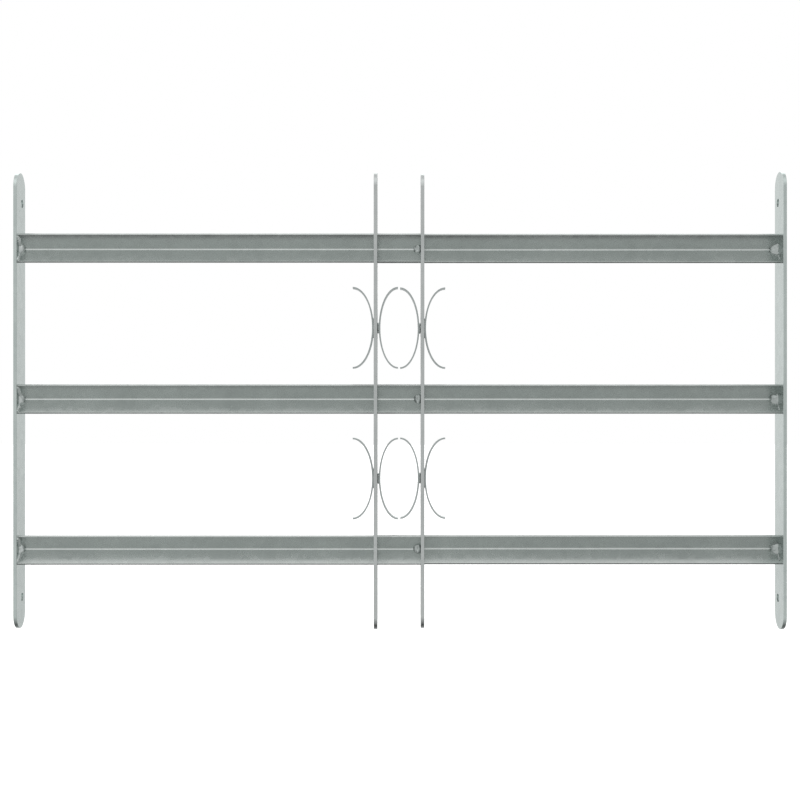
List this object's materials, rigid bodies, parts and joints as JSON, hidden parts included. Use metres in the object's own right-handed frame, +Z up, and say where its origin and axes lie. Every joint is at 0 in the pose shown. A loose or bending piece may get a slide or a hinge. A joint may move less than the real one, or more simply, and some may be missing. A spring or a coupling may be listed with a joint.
{
  "type": "window security bar",
  "caption": "Width-adjustable steel window grille: two sliding welded half frames with folded crossbars, scroll ornaments and round-ended plates that screw to the window's sides.",
  "frame": {"origin": "middle of the left wall plate's screw holes, on the face that meets the wall, with the grille drawn fully out", "axes": "+X from the left wall to the right wall, +Y away from the side that is looked at, +Z up along the wall plates"},
  "size_m": [0.7553, 0.0366, 0.45],
  "materials": {
    "galvanised_flat_bar": "hot-dip galvanised, satin",
    "galvanised_rail": "galvanised sheet, satin",
    "galvanised_strip": "galvanised strip, satin",
    "weld_metal": "weld metal under zinc, uneven"
  },
  "bodies": {
    "left_half": {"left_wall_plate": "galvanised_flat_bar", "left_guide_bar": "galvanised_flat_bar", "left_top_rail": "galvanised_rail", "left_middle_rail": "galvanised_rail", "left_bottom_rail": "galvanised_rail", "left_outer_upper_scroll": "galvanised_strip", "left_outer_lower_scroll": "galvanised_strip", "left_inner_upper_scroll": "galvanised_strip", "left_inner_lower_scroll": "galvanised_strip", "left_scroll_welds": "weld_metal", "left_plate_welds": "weld_metal", "left_bar_welds": "weld_metal"},
    "right_half": {"right_wall_plate": "galvanised_flat_bar", "right_guide_bar": "galvanised_flat_bar", "right_top_rail": "galvanised_rail", "right_middle_rail": "galvanised_rail", "right_bottom_rail": "galvanised_rail", "right_outer_upper_scroll": "galvanised_strip", "right_outer_lower_scroll": "galvanised_strip", "right_inner_upper_scroll": "galvanised_strip", "right_inner_lower_scroll": "galvanised_strip", "right_scroll_welds": "weld_metal", "right_plate_welds": "weld_metal", "right_bar_welds": "weld_metal"}
  },
  "joints": [
    {"name": "width_slide", "type": "slide", "parent": "left_half", "child": "right_half", "axis": [-1, 0, 0], "range_m": [0, 0.325]}
  ]
}
